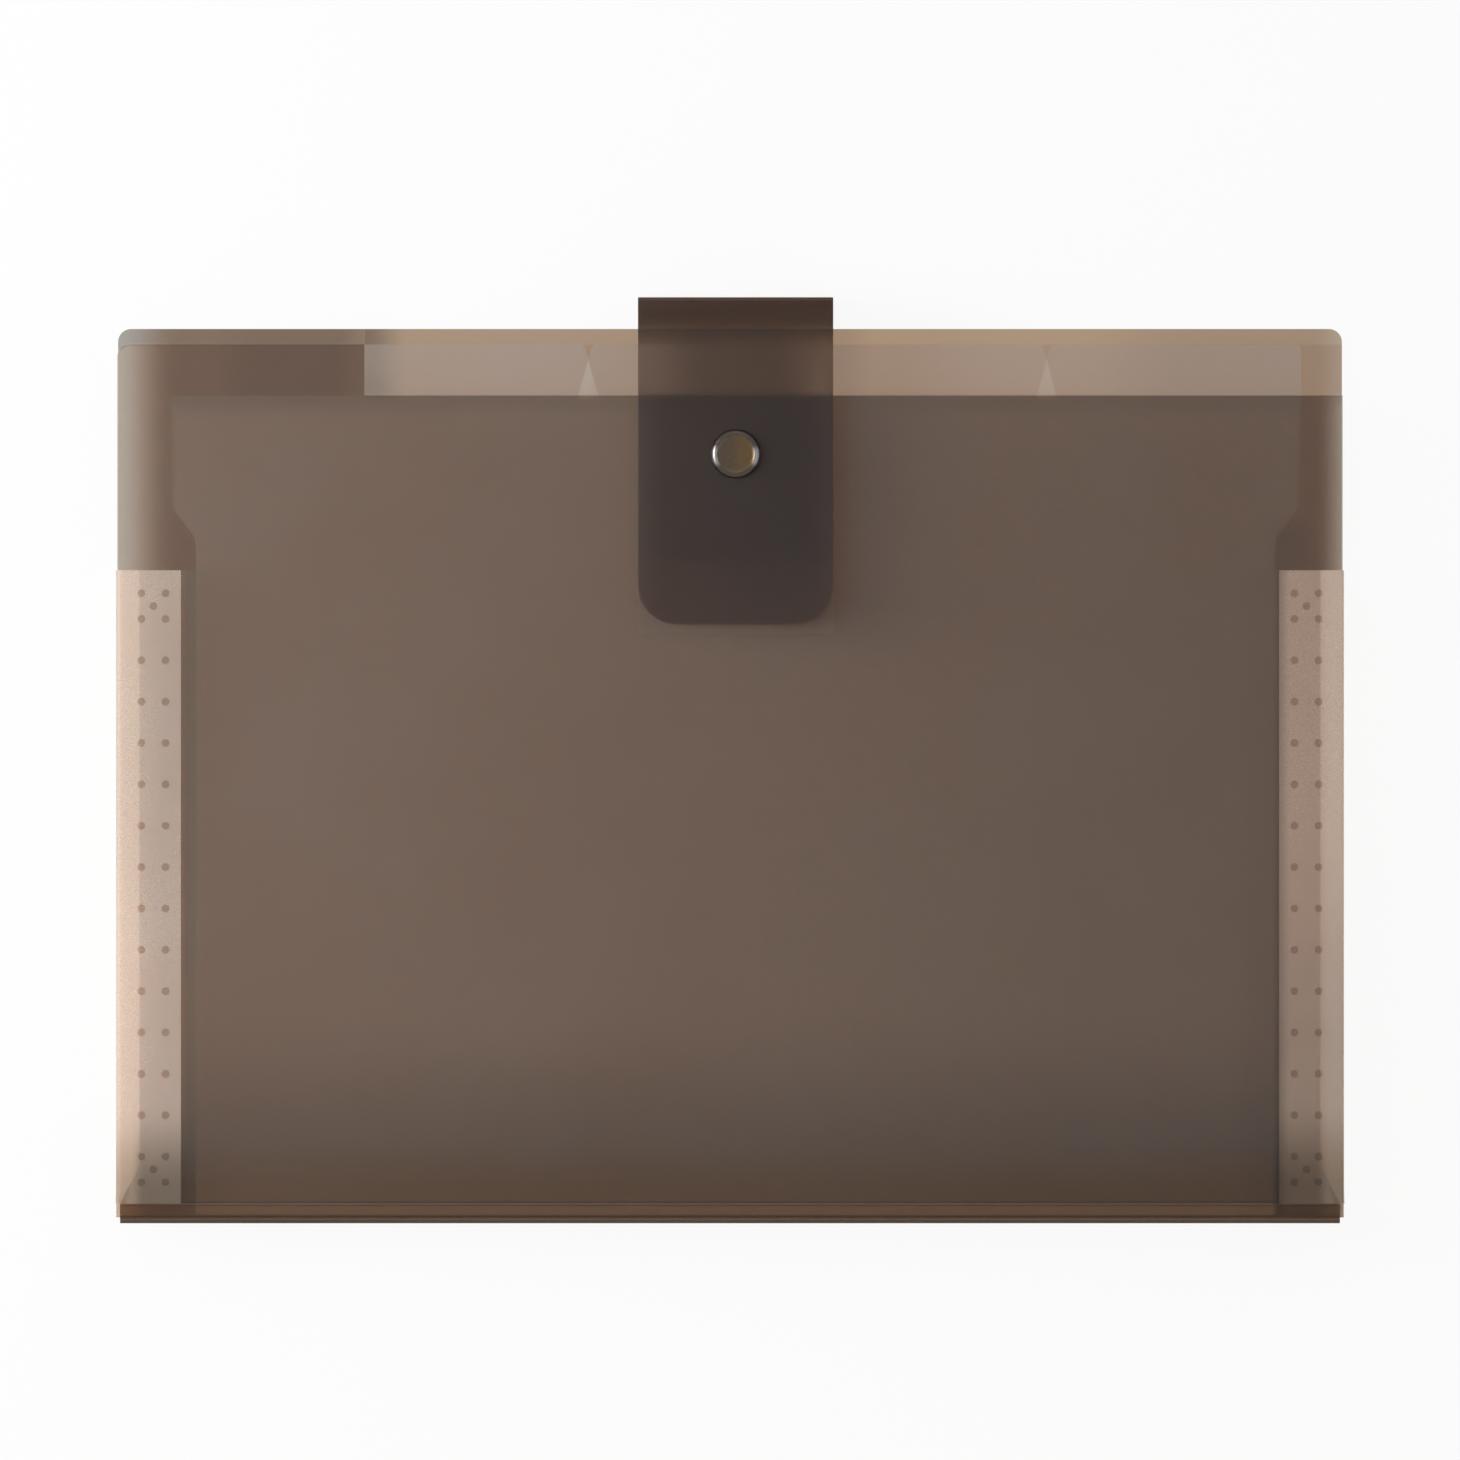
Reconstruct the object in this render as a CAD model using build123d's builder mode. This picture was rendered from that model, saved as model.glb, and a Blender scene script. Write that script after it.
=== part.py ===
from build123d import *
import os
from math import atan2, degrees, hypot, sqrt

# A landscape A4 expanding file in smoke polypropylene, lying closed on its back cover.
#
# Five pockets lie between two stiff covers. Four thin dividers part them, and each carries an
# index tab. A pleated gusset closes each side, and its ends are spot welded to the outer faces of
# the covers. The covers join at a scored spine of five narrow panels. A strap, welded to the back
# cover, comes over the top and snaps on to the front cover.
#
# X runs across the file, Y up from the spine to the open top, and Z from the table to the front.
# Heights are measured up from the lowest line of the spine. Sizes are in millimetres.

# Pockets and what lies between them
pocket_count = 5
pocket_gap = 4.4            # clear space between two sheets of the closed file
cover_thickness = 0.8
divider_thickness = 0.4
gusset_thickness = 0.4
strap_thickness = 1.0
patch_thickness = 0.5

# Covers
cover_width = 329.0
front_height = 222.3
back_rise = 18.0            # of the back cover over the front cover's top edge
tab_rise = 13.7             # of the index tabs over the front cover's top edge
front_tab_length = 66.4     # the raised tab at the left of the front cover
outer_corner = 3.5
tab_corner = 2.6
front_corner = 2.0

# Spine
crease_height = 5.1         # the covers' folds above the lowest line of the spine
spine_inset = 0.7           # the spine ends this far in from the covers' sides
fold_gap = 0.3              # from a fold line to the end of a panel

# Gussets
gusset_overhang = 0.5       # of the outer folds past the covers' sides
gusset_top = 175.1
flange_width = 17.6
pleat_depth = 17.5          # from the outer folds to the inner folds
weld_band = 9.5             # of a pleat, lying on a divider
notch_depth = 6.0           # the covers are cut back this far, so that the gusset can fold round
notch_corner = 4.0
notch_foot_rise = 10.4      # from the fold to where the cut back edge starts
seat_gap = 0.3              # between pieces that lie beside each other and move apart

# Spot welds on the flanges
weld_radius = 1.1
weld_depth = 0.12
weld_rows = 14
weld_pitch = 11.1
weld_end_step = 6.9         # from the last row of the run to the extra pair at each end
weld_margin = 12.8          # from the flange's top to the run's highest row
weld_column_gap = 6.5
weld_inset = 4.1            # from the flange's inner edge to the nearer column

# Dividers and their index tabs
inner_shift = 1.5           # dividers and strap lie this far right of the covers' middle
divider_inset = 12.5        # from the covers' sides to the dividers', on average
waist_inset = 2.5           # from the pleats' inner folds to the dividers' waist, on average
relief_rise = 8.9           # from the gussets' top to where the waist ends
relief_length = 9.0         # from there to where the full width starts
first_tab_boundary = 64.8   # from the front cover's left edge
tab_pitch = 61.6
tab_spread = 2.7            # a tab's foot beyond its boundary
tab_inset = 1.1             # a tab's top inside its boundary
divider_corner = 1.5

# Strap and patch
strap_width = 52.4
strap_rise = 8.4            # over the back cover's top edge
strap_anchor_length = 62.0  # welded to the back cover
flap_length = 87.9          # down the front, from the strap's top
flap_corner = 10.0
patch_width = 53.0
patch_length = 64.0
anchor_weld_columns = 4
anchor_weld_rows = 4
anchor_weld_pitch = 12.0

# Snap fastener
snap_drop = 15.7            # from the front cover's top edge to the snap's middle
cap_radius = 6.6
cap_flat_radius = 4.9
cap_height = 1.4
cap_rim = 0.4
shank_radius = 1.6
shank_clearance = 0.1
socket_radius = 5.2
socket_height = 1.2
socket_roof = 0.3
stud_base_radius = 4.6
stud_base_height = 0.4
stud_radius = 2.1
stud_height = 0.6           # above its base
stud_play = 0.9             # between stud and socket wall, so that the flap can swing off
stud_round = 0.3
snap_gap = 0.2              # between socket and stud base
post_head_height = 0.6

# Levels above the table
back_level = strap_thickness
pocket_pitch = pocket_gap + divider_thickness
first_divider_level = back_level + cover_thickness + pocket_gap
front_level = first_divider_level + (pocket_count - 1) * pocket_pitch
front_face = front_level + cover_thickness
patch_face = front_face + patch_thickness
socket_foot = patch_face + stud_base_height + snap_gap
flap_level = socket_foot + socket_height
flap_face = flap_level + strap_thickness

# Widths and heights that follow
half_cover = cover_width / 2
half_gusset = half_cover + gusset_overhang
inner_fold = half_gusset - pleat_depth
back_height = front_height + back_rise
overall_height = back_height + strap_rise
snap_height = front_height - snap_drop
divider_count = pocket_count - 1
same_place = 0.01           # points nearer than this count as one when corners are picked


def sheet_plane(level):
    """Plane of a sheet that lies flat, with heights measured from the spine."""
    return Plane(origin=(0, -overall_height / 2, level))


def side_plane(across=0):
    """Plane seen from the file's side, its first direction up from the spine, its second off the table."""
    return Plane(origin=(across, -overall_height / 2, 0), x_dir=(0, 1, 0), z_dir=(1, 0, 0))


def end_plane(height):
    """Plane at one height, seen from the spine, its second direction off the table."""
    return Plane(origin=(0, height - overall_height / 2, 0), x_dir=(1, 0, 0), z_dir=(0, -1, 0))


def divider_level(number):
    """Underside of a divider. The front one is number 1."""
    return first_divider_level + (divider_count - number) * pocket_pitch


def crease_levels():
    """Level of each fold of the spine, from the back cover's to the front cover's."""
    levels = [back_level + cover_thickness / 2]
    for number in range(divider_count, 0, -1):
        levels.append(divider_level(number) + divider_thickness / 2)
    levels.append(front_level + cover_thickness / 2)
    return levels


def crease_points():
    """Height and level of each fold, on an arc that dips below the covers' folds."""
    levels = crease_levels()
    middle = (levels[0] + levels[-1]) / 2
    half_span = (levels[-1] - levels[0]) / 2
    dip = crease_height - cover_thickness / 2
    radius = (half_span**2 + dip**2) / (2 * dip)
    drops = [sqrt(radius**2 - (level - middle) ** 2) for level in levels]
    lowest = max(drops)
    highest = min(drops)
    scale = dip / (lowest - highest)
    return [
        (cover_thickness / 2 + (lowest - drop) * scale, level)
        for drop, level in zip(drops, levels)
    ]


folds = crease_points()


def lay_band(points, thickness):
    """Draws a band of even thickness along straight runs, rounded where it folds."""
    for (x1, y1), (x2, y2) in zip(points, points[1:]):
        length = hypot(x2 - x1, y2 - y1)
        turn = degrees(atan2(y2 - y1, x2 - x1))
        with Locations(Location(((x1 + x2) / 2, (y1 + y2) / 2, 0), (0, 0, turn))):
            Rectangle(length, thickness)
    for point in points[1:-1]:
        with Locations(point):
            Circle(thickness / 2)


def cover_side(direction, top):
    """Outline points up one side of a cover, from its fold to its top corner."""
    outer = direction * half_cover
    cut_back = direction * (half_cover - notch_depth)
    return [
        (direction * (half_cover - spine_inset), crease_height + fold_gap),
        (cut_back, crease_height + notch_foot_rise),
        (cut_back, gusset_top + seat_gap),
        (outer, gusset_top + seat_gap),
        (outer, top),
    ]


def notch_corners(outline):
    """The inner corners where a cover is cut back beside its gussets."""
    return outline.vertices().filter_by(
        lambda v: abs(v.Y - gusset_top - seat_gap) < same_place and abs(v.X) < half_cover - same_place
    )


def weld_spots():
    """Spots on a flange, measured from its inner edge and up from the spine."""
    columns = [weld_inset, weld_inset + weld_column_gap]
    highest = gusset_top - weld_margin
    lowest = highest - (weld_rows - 1) * weld_pitch
    rows = [highest - row * weld_pitch for row in range(weld_rows)]
    rows += [lowest - weld_end_step, highest + weld_end_step]
    spots = [(column, row) for column in columns for row in rows]
    middle = sum(columns) / 2
    spots.append((middle, lowest - weld_end_step / 2))
    spots.append((middle, highest + weld_end_step / 2))
    return spots


def make_back_cover():
    top = back_height
    with BuildPart() as cover:
        with BuildSketch(sheet_plane(back_level)) as outline:
            with BuildLine():
                Polyline(cover_side(1, top) + cover_side(-1, top)[::-1], close=True)
            make_face()
            fillet(notch_corners(outline), notch_corner)
            fillet(outline.vertices().group_by(Axis.Y)[-1], outer_corner)
        extrude(amount=cover_thickness)
    return cover


def make_front_cover():
    tab_top = front_height + tab_rise
    tab_end = front_tab_length - half_cover
    with BuildPart() as cover:
        with BuildSketch(sheet_plane(front_level)) as outline:
            right = cover_side(1, front_height)
            left = cover_side(-1, tab_top)[::-1]
            step = [(tab_end, front_height), (tab_end, tab_top)]
            with BuildLine():
                Polyline(right + step + left, close=True)
            make_face()
            levels = outline.vertices().group_by(Axis.Y)
            tab_ends = levels[-1].sort_by(Axis.X)
            step_ends = levels[-2].sort_by(Axis.X)
            cut_ends = notch_corners(outline)
            fillet(tab_ends[0], outer_corner)
            fillet(tab_ends[1], tab_corner)
            fillet(step_ends[0], tab_corner)
            fillet(step_ends[1], front_corner)
            fillet(cut_ends, notch_corner)
            with Locations((inner_shift, snap_height)):
                Circle(shank_radius + shank_clearance, mode=Mode.SUBTRACT)
        extrude(amount=cover_thickness)
    return cover


def make_spine_panel(number):
    """One of the spine's panels, counted from the back cover."""
    (height_a, level_a), (height_b, level_b) = folds[number - 1], folds[number]
    length = hypot(height_b - height_a, level_b - level_a) - 2 * fold_gap
    turn = degrees(atan2(level_b - level_a, height_b - height_a))
    middle = ((height_a + height_b) / 2, (level_a + level_b) / 2, 0)
    with BuildPart() as panel:
        with BuildSketch(side_plane()):
            with Locations(Location(middle, (0, 0, turn))):
                Rectangle(length, cover_thickness)
        extrude(amount=half_cover - spine_inset, both=True)
    return panel


def tab_points(number):
    """A divider's index tab. The last one runs to the divider's right edge."""
    start = first_tab_boundary - half_cover + (number - 1) * tab_pitch
    end = start + tab_pitch
    foot, top = front_height, front_height + tab_rise
    right_edge = inner_shift + half_cover - divider_inset
    if number == divider_count:
        right_side = [(right_edge, foot), (right_edge, top)]
    else:
        right_side = [(end + tab_spread, foot), (end - tab_inset, top)]
    return right_side + [(start + tab_inset, top), (start - tab_spread, foot)]


def make_divider(number):
    waist, full = inner_fold - waist_inset, half_cover - divider_inset
    relief_foot = gusset_top + relief_rise
    relief_head = relief_foot + relief_length
    height, _ = folds[divider_count + 1 - number]
    foot = height + cover_thickness / 2 + seat_gap

    def side(direction):
        return [
            (inner_shift + direction * waist, foot),
            (inner_shift + direction * waist, relief_foot),
            (inner_shift + direction * full, relief_head),
            (inner_shift + direction * full, front_height),
        ]

    with BuildPart() as divider:
        with BuildSketch(sheet_plane(divider_level(number))) as outline:
            with BuildLine():
                Polyline(side(1) + side(-1)[::-1], close=True)
            make_face()
            with BuildLine():
                Polyline(tab_points(number), close=True)
            make_face()
            tab_ends = outline.vertices().group_by(Axis.Y)[-1]
            fillet(tab_ends, divider_corner)
            reliefs = outline.vertices().filter_by(
                lambda v: relief_foot - same_place < v.Y < relief_head + same_place
            )
            fillet(reliefs, notch_corner)
        extrude(amount=divider_thickness)
    return divider


def make_flange(direction, front):
    """The end of a gusset, welded flat on the outer face of a cover."""
    outer = half_gusset - gusset_thickness - seat_gap
    inner = half_gusset - flange_width
    foot = crease_height + cover_thickness
    level = front_face if front else back_level - gusset_thickness
    outer_level = level + gusset_thickness if front else level
    sink = -weld_depth if front else weld_depth
    with BuildPart() as flange:
        with BuildSketch(sheet_plane(level)):
            with Locations((direction * (inner + outer) / 2, (foot + gusset_top) / 2)):
                Rectangle(outer - inner, gusset_top - foot)
        extrude(amount=gusset_thickness)
        with BuildSketch(sheet_plane(outer_level)):
            with Locations([(direction * (inner + x), y) for x, y in weld_spots()]):
                Circle(weld_radius)
        extrude(amount=sink, mode=Mode.SUBTRACT)
    return flange


def make_pleat(direction, number):
    """The part of a gusset beside one pocket. The front pocket is number 1."""
    half = gusset_thickness / 2
    outer = half_gusset - half
    band_end = inner_fold - weld_band
    below = divider_level(number) + divider_thickness + half
    above = divider_level(number - 1) - half
    rear_side = [(band_end, below), (inner_fold, below)]
    front_side = [(inner_fold, above), (band_end, above)]
    if number == 1:
        path = rear_side + [(outer, front_level - gusset_thickness), (outer, front_face + half)]
    elif number == pocket_count:
        knee = back_level + cover_thickness + gusset_thickness
        path = [(outer, back_level - half), (outer, knee)] + front_side
    else:
        path = rear_side + [(outer, (below + above) / 2)] + front_side
    fold = pocket_count - number
    foot = max(folds[fold][0], folds[fold + 1][0]) + cover_thickness
    with BuildPart() as pleat:
        with BuildSketch(end_plane(foot)):
            lay_band([(direction * x, z) for x, z in path], gusset_thickness)
            if number in (1, pocket_count):
                with Locations((direction * outer, path[-1 if number == 1 else 0][1])):
                    Circle(half)
        extrude(amount=foot - gusset_top)
    return pleat


def make_strap_anchor():
    """The strap's end, welded to the back of the back cover."""
    top = overall_height - strap_thickness - fold_gap
    foot = back_height - strap_anchor_length
    spots_middle = back_height - strap_anchor_length / 2
    with BuildPart() as anchor:
        with BuildSketch(sheet_plane(0)) as outline:
            with Locations((inner_shift, (foot + top) / 2)):
                Rectangle(strap_width, top - foot)
            fillet(outline.vertices().group_by(Axis.Y)[0], outer_corner)
        extrude(amount=strap_thickness)
        with BuildSketch(sheet_plane(0)):
            with Locations((inner_shift, spots_middle)):
                with GridLocations(
                    anchor_weld_pitch, anchor_weld_pitch, anchor_weld_columns, anchor_weld_rows
                ):
                    Circle(weld_radius)
        extrude(amount=weld_depth, mode=Mode.SUBTRACT)
    return anchor


def make_strap_bridge():
    """The strap's top, between its two folds."""
    start = strap_thickness + fold_gap
    end = flap_level - fold_gap
    with BuildPart() as bridge:
        with BuildSketch(side_plane(across=inner_shift)):
            with Locations((overall_height - strap_thickness / 2, (start + end) / 2)):
                Rectangle(strap_thickness, end - start)
        extrude(amount=strap_width / 2, both=True)
    return bridge


def make_strap_flap():
    """The strap's front end, with a hole for the snap cap's shank."""
    top = overall_height - strap_thickness - fold_gap
    foot = overall_height - flap_length
    with BuildPart() as flap:
        with BuildSketch(sheet_plane(flap_level)) as outline:
            with Locations((inner_shift, (foot + top) / 2)):
                Rectangle(strap_width, top - foot)
            fillet(outline.vertices().group_by(Axis.Y)[0], flap_corner)
            with Locations((inner_shift, snap_height)):
                Circle(shank_radius + shank_clearance, mode=Mode.SUBTRACT)
        extrude(amount=strap_thickness)
    return flap


def make_closure_patch():
    """Stiffens the front cover under the snap."""
    with BuildPart() as patch:
        with BuildSketch(sheet_plane(front_face)):
            with Locations((inner_shift, front_height - patch_length / 2)):
                Rectangle(patch_width, patch_length)
            with Locations((inner_shift, snap_height)):
                Circle(shank_radius + shank_clearance, mode=Mode.SUBTRACT)
        extrude(amount=patch_thickness)
    return patch


def snap_axis_plane():
    """Plane through the snap's middle, its second direction off the table."""
    return Plane(
        origin=(inner_shift, snap_height - overall_height / 2, 0), x_dir=(1, 0, 0), z_dir=(0, -1, 0)
    )


def turn_profile(points, rounded=None):
    """Turns half a section round the snap's middle line."""
    plane = snap_axis_plane()
    with BuildPart() as piece:
        with BuildSketch(plane) as section:
            with BuildLine():
                Polyline(points, close=True)
            make_face()
            if rounded:
                corner, radius = rounded
                fillet(section.vertices().sort_by_distance(corner)[0], radius)
        revolve(axis=Axis(plane.origin, (0, 0, 1)))
    return piece


def make_snap_cap():
    top = flap_face + cap_height
    points = [
        (0, top),
        (cap_flat_radius, top),
        (cap_radius, flap_face + cap_rim),
        (cap_radius, flap_face),
        (shank_radius, flap_face),
        (shank_radius, flap_level),
        (0, flap_level),
    ]
    return turn_profile(points)


def make_snap_socket():
    cavity = stud_radius + stud_play
    points = [
        (0, flap_level),
        (socket_radius, flap_level),
        (socket_radius, socket_foot),
        (cavity, socket_foot),
        (cavity, flap_level - socket_roof),
        (0, flap_level - socket_roof),
    ]
    return turn_profile(points)


def make_snap_stud():
    base = patch_face + stud_base_height
    top = base + stud_height
    points = [
        (0, patch_face),
        (stud_base_radius, patch_face),
        (stud_base_radius, base),
        (stud_radius, base),
        (stud_radius, top),
        (0, top),
    ]
    return turn_profile(points, rounded=((stud_radius, top, 0), stud_round))


def make_snap_post():
    """Rivets the stud on from inside the front pocket."""
    foot = front_level - post_head_height
    points = [
        (0, foot),
        (stud_base_radius, foot),
        (stud_base_radius, front_level),
        (shank_radius, front_level),
        (shank_radius, patch_face),
        (0, patch_face),
    ]
    return turn_profile(points)


def write(piece, label):
    piece.part.label = label
    export_step(piece.part, f"parts/{label}.step")


os.makedirs("parts", exist_ok=True)
write(make_back_cover(), "back_cover")
write(make_front_cover(), "front_cover")
for panel_number in range(1, pocket_count + 1):
    write(make_spine_panel(panel_number), f"spine_panel_{panel_number}")
for divider_number in range(1, divider_count + 1):
    write(make_divider(divider_number), f"divider_{divider_number}")
for side_name, side_direction in (("left", -1), ("right", 1)):
    write(make_flange(side_direction, front=True), f"{side_name}_front_flange")
    write(make_flange(side_direction, front=False), f"{side_name}_back_flange")
    for pleat_number in range(1, pocket_count + 1):
        write(make_pleat(side_direction, pleat_number), f"{side_name}_pleat_{pleat_number}")
write(make_strap_anchor(), "strap_anchor")
write(make_strap_bridge(), "strap_bridge")
write(make_strap_flap(), "strap_flap")
write(make_closure_patch(), "closure_patch")
write(make_snap_cap(), "snap_cap")
write(make_snap_socket(), "snap_socket")
write(make_snap_stud(), "snap_stud")
write(make_snap_post(), "snap_post")
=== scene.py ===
import math
import bpy
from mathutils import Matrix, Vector


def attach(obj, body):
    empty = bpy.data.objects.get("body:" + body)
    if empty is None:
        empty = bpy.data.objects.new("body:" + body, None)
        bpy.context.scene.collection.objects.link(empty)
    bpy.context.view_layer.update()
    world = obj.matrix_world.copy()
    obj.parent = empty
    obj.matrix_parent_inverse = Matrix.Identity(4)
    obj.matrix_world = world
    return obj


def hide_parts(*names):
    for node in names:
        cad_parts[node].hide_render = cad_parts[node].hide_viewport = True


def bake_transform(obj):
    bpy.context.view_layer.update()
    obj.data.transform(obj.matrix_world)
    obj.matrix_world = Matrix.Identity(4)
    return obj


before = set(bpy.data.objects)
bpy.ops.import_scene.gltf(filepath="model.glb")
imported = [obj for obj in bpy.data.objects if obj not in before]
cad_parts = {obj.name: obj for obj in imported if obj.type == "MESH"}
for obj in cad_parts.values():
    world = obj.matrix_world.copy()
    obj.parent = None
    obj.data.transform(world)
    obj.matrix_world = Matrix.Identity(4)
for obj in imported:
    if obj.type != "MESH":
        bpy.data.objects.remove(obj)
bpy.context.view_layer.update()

mm = 0.001
spineLine = -124.35  # Y of the file's lowest line, in mm
near = 0.1           # places nearer than this, in mm, count as one when a piece is edited
along = 0.9          # a direction with at least this share runs along its axis
sides = 'left', 'right'
print('frame loaded')


# Selecting and shaping. Places in the tests are in mm.

def deselectAll():
    if bpy.context.object and bpy.context.object.mode != 'OBJECT':
        bpy.ops.object.mode_set(mode='OBJECT')
    bpy.ops.object.select_all(action='DESELECT')


def selectOnly(piece):
    deselectAll()
    piece.select_set(True)
    bpy.context.view_layer.objects.active = piece


# Opens a piece for editing, with what passes the test selected. The test gets a place and a
# direction: the normal of a vertex or face, or the run of an edge.
def choose(piece, kind, test):
    selectOnly(piece)
    bpy.ops.object.mode_set(mode='EDIT')
    bpy.ops.mesh.select_mode(type=kind)
    bpy.ops.mesh.select_all(action='DESELECT')
    bpy.ops.object.mode_set(mode='OBJECT')
    mesh = piece.data
    if kind == 'VERT':
        for corner in mesh.vertices:
            corner.select = test(corner.co / mm, corner.normal)
    elif kind == 'EDGE':
        for edge in mesh.edges:
            a, b = (mesh.vertices[i].co for i in edge.vertices)
            edge.select = test((a + b) / 2 / mm, (b - a).normalized())
    else:
        for face in mesh.polygons:
            face.select = test(face.center / mm, face.normal)
    bpy.ops.object.mode_set(mode='EDIT')


def closeEdit():
    bpy.ops.object.mode_set(mode='OBJECT')


def addModifier(piece, kind, **settings):
    selectOnly(piece)
    modifier = piece.modifiers.new(kind.lower(), kind)
    for name, value in settings.items():
        setattr(modifier, name, value)
    bpy.ops.object.modifier_apply(modifier=modifier.name)


def newPiece(name, addPrimitive, **settings):
    deselectAll()
    addPrimitive(**settings)
    piece = bpy.context.object
    piece.name = piece.data.name = name
    bpy.ops.object.transform_apply(location=True, rotation=True, scale=True)
    return piece


# Lays a line through the points, in mm, and draws it out into a sheet, one run for each reach.
def drawSheet(name, points, reaches):
    piece = newPiece(name, bpy.ops.mesh.primitive_plane_add, size=mm)
    bpy.ops.object.mode_set(mode='EDIT')
    bpy.ops.mesh.select_mode(type='VERT')
    bpy.ops.mesh.select_all(action='SELECT')
    bpy.ops.mesh.merge(type='CENTER')
    points = [Vector(point) * mm for point in points]
    bpy.ops.transform.translate(value=points[0])
    for here, there in zip(points, points[1:]):
        bpy.ops.mesh.extrude_vertices_move(TRANSFORM_OT_translate={'value': there - here})
    bpy.ops.mesh.select_all(action='SELECT')
    for reach in reaches:
        bpy.ops.mesh.extrude_edges_move(TRANSFORM_OT_translate={'value': Vector(reach) * mm})
    bpy.ops.mesh.select_all(action='SELECT')
    bpy.ops.mesh.normals_make_consistent(inside=False)
    closeEdit()
    return piece


def moveChosen(shift):
    bpy.ops.transform.translate(value=Vector(shift) * mm)


def smoothPiece(piece, degrees=35):
    selectOnly(piece)
    bpy.ops.object.shade_smooth_by_angle(angle=math.radians(degrees))


def turnOutwards(piece):
    selectOnly(piece)
    bpy.ops.object.mode_set(mode='EDIT')
    bpy.ops.mesh.select_all(action='SELECT')
    bpy.ops.mesh.normals_make_consistent(inside=False)
    closeEdit()


def copyPiece(piece, name):
    selectOnly(piece)
    bpy.ops.object.duplicate()
    copy = bpy.context.object
    copy.name = copy.data.name = name
    return copy


def mirrorPiece(piece):
    selectOnly(piece)
    bpy.ops.object.mode_set(mode='EDIT')
    bpy.ops.mesh.select_all(action='SELECT')
    bpy.ops.transform.mirror(constraint_axis=(True, False, False), center_override=(0, 0, 0))
    bpy.ops.mesh.normals_make_consistent(inside=False)
    closeEdit()


# Finishes

def addNode(tree, kind, inputs=None, **settings):
    made = tree.nodes.new('ShaderNode' + kind)
    for name, value in settings.items():
        setattr(made, name, value)
    for name, value in (inputs or {}).items():
        if hasattr(value, 'is_output'):
            tree.links.new(value, made.inputs[name])
        else:
            made.inputs[name].default_value = value
    return made


def colour(red, green, blue):
    return (red, green, blue, 1)


def newFinish(name):
    finish = bpy.data.materials.new(name)
    finish.use_nodes = True
    finish.node_tree.nodes.clear()
    return finish, finish.node_tree


def calc(tree, operation, a, b=0.0):
    return addNode(tree, 'Math', {0: a, 1: b}, operation=operation).outputs[0]


# Goes smoothly from one value to another while a measure goes over a range.
def slope(tree, measure, start, end, low=0.0, high=1.0):
    inputs = {'Value': measure, 'From Min': start, 'From Max': end, 'To Min': low, 'To Max': high}
    return addNode(tree, 'MapRange', inputs, interpolation_type='SMOOTHSTEP').outputs[0]


def objectPlace(tree):
    place = addNode(tree, 'TexCoord').outputs['Object']
    parts = addNode(tree, 'SeparateXYZ', {0: place})
    return place, parts.outputs


def mixColour(tree, share, first, second):
    made = addNode(tree, 'Mix', {0: share, 6: first, 7: second}, data_type='RGBA')
    return made.outputs[2]


def choice(tree, share, first, second):
    return addNode(tree, 'Mix', {0: share, 2: first, 3: second}).outputs[0]


def scaleColour(tree, value, by):
    return addNode(tree, 'VectorMath', {0: value, 'Scale': by}, operation='SCALE').outputs[0]


def timesColour(tree, first, second):
    return addNode(tree, 'VectorMath', {0: first, 1: second}, operation='MULTIPLY').outputs[0]


# Places in finishes are in mm, and heights are above the spine's lowest line.
def ramp(tree, measure, places, low=0.0, high=1.0):
    return slope(tree, measure, places[0] * mm, places[1] * mm, low, high)


def heightRamp(tree, up, heights, low=0.0, high=1.0):
    return ramp(tree, up, [spineLine + height for height in heights], low, high)


def awayFrom(tree, measure, middle):
    return calc(tree, 'ABSOLUTE', calc(tree, 'SUBTRACT', measure, middle * mm))


def product(tree, first, second):
    return calc(tree, 'MULTIPLY', first, second)


sheetPattern = {
    'cloudScale': 22.0, 'cloudDetail': 3.0, 'cloudEnds': (0.3, 0.7), 'grainDetail': 2.0,
    'grainEnds': (0.25, 0.75), 'roughPlay': 0.05, 'bumpStrength': 0.3, 'edgeBlend': 0.3, 'edgePower': 2.0,
    'gloss': 0.5, 'bending': 1.49,  # polypropylene's index of refraction
}


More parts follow.
